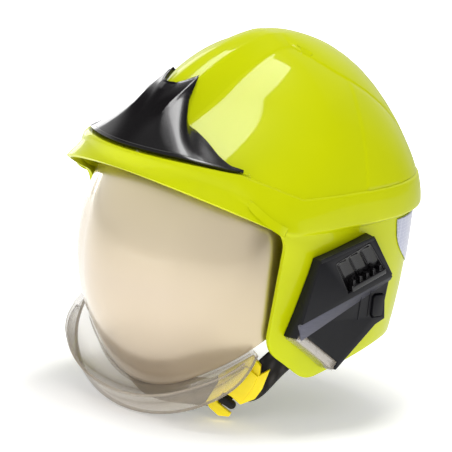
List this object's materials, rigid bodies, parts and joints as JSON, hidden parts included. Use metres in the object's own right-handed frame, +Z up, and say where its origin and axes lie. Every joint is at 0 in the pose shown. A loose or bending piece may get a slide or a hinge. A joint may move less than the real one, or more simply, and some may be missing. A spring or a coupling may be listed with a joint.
{
  "type": "firefighter helmet",
  "caption": "Jet-style firefighter helmet with a raised crest, gold face shield that swings up, stowed ocular visor, side lamps with mask racks, harness with ratchet, and buckled chin strap.",
  "frame": {"origin": "midway along the pivot axis of the visors, in the helmet's plane of symmetry, beside the wearer's ears", "axes": "+Z up the wearer's head, the wearer looks along -Y, +X to the wearer's left"},
  "size_m": [0.2656, 0.3125, 0.3236],
  "materials": {
    "shell": "gloss yellow-green paint over a moulded composite shell",
    "plate": "polished black",
    "film": "silver retroreflective film",
    "foam": "cloth-faced polyurethane foam",
    "harness": "moulded nylon",
    "webbing": "woven webbing",
    "gold_visor": "gold-coated polycarbonate",
    "clear": "clear polycarbonate",
    "cover": "satin black moulding",
    "steel": "plated",
    "bright": "metallised",
    "yellow": "satin yellow moulding",
    "rubber": "matt black"
  },
  "bodies": {
    "helmet": {"outer_shell": "shell", "front_plate": "plate", "rear_reflector": "film", "impact_liner": "foam", "headband": "harness", "sweat_pad": "webbing", "crown_strap_front": "webbing", "crown_strap_rear": "webbing", "crown_strap_middle": "webbing", "nape_cradle": "harness", "ratchet_housing": "harness", "pivot_bush_left": "cover", "pivot_bush_right": "cover", "pivot_spacer_left": "cover", "pivot_spacer_right": "cover", "pivot_bolt_left": "steel", "pivot_bolt_right": "steel", "side_cover_left": "cover", "side_cover_right": "cover", "mask_rack_left": "cover", "mask_rack_right": "cover", "lamp_lens_left": "clear", "lamp_lens_right": "clear", "lamp_reflector_left": "bright", "lamp_reflector_right": "bright", "strap_anchor_left": "harness", "strap_anchor_right": "harness", "chin_strap_left": "webbing", "chin_strap_right": "webbing", "buckle_frame": "yellow", "buckle_roller": "rubber"},
    "face_shield": {"face_shield": "gold_visor", "shield_lip": "clear", "shield_arm_left": "cover", "shield_arm_right": "cover"},
    "ocular": {"ocular_visor": "clear", "ocular_arm_left": "cover", "ocular_arm_right": "cover"},
    "ratchet_knob": {"ratchet_knob": "harness"},
    "lamp_switch_left": {"lamp_switch_left": "cover"},
    "lamp_switch_right": {"lamp_switch_right": "cover"},
    "buckle_lever": {"buckle_lever": "yellow"}
  },
  "joints": [
    {"name": "shield_raise", "type": "hinge", "parent": "helmet", "child": "face_shield", "pos_m": [0, 0, 0], "axis": [-1, 0, 0], "range_deg": [0, 61]},
    {"name": "ocular_lower", "type": "hinge", "parent": "helmet", "child": "ocular", "pos_m": [0, 0, 0], "axis": [1, 0, 0], "range_deg": [0, 50]},
    {"name": "knob_turn", "type": "hinge", "parent": "helmet", "child": "ratchet_knob", "pos_m": [0, 0.1073, -0.025], "axis": [0, 1, 0], "range_deg": [-180, 180]},
    {"name": "switch_press_left", "type": "slide", "parent": "helmet", "child": "lamp_switch_left", "axis": [-1, 0, 0], "range_m": [0, 0.0015], "stiffness_N_per_m": 600, "springref_m": -0.0008},
    {"name": "switch_press_right", "type": "slide", "parent": "helmet", "child": "lamp_switch_right", "axis": [1, 0, 0], "range_m": [0, 0.0015], "stiffness_N_per_m": 600, "springref_m": -0.0008},
    {"name": "lever_open", "type": "hinge", "parent": "helmet", "child": "buckle_lever", "pos_m": [0.06182, -0.07786, -0.1005], "axis": [-0.6629, -0.4305, -0.6126], "range_deg": [0, 30], "stiffness_Nm_per_rad": 0.02, "springref_deg": -11.46}
  ]
}
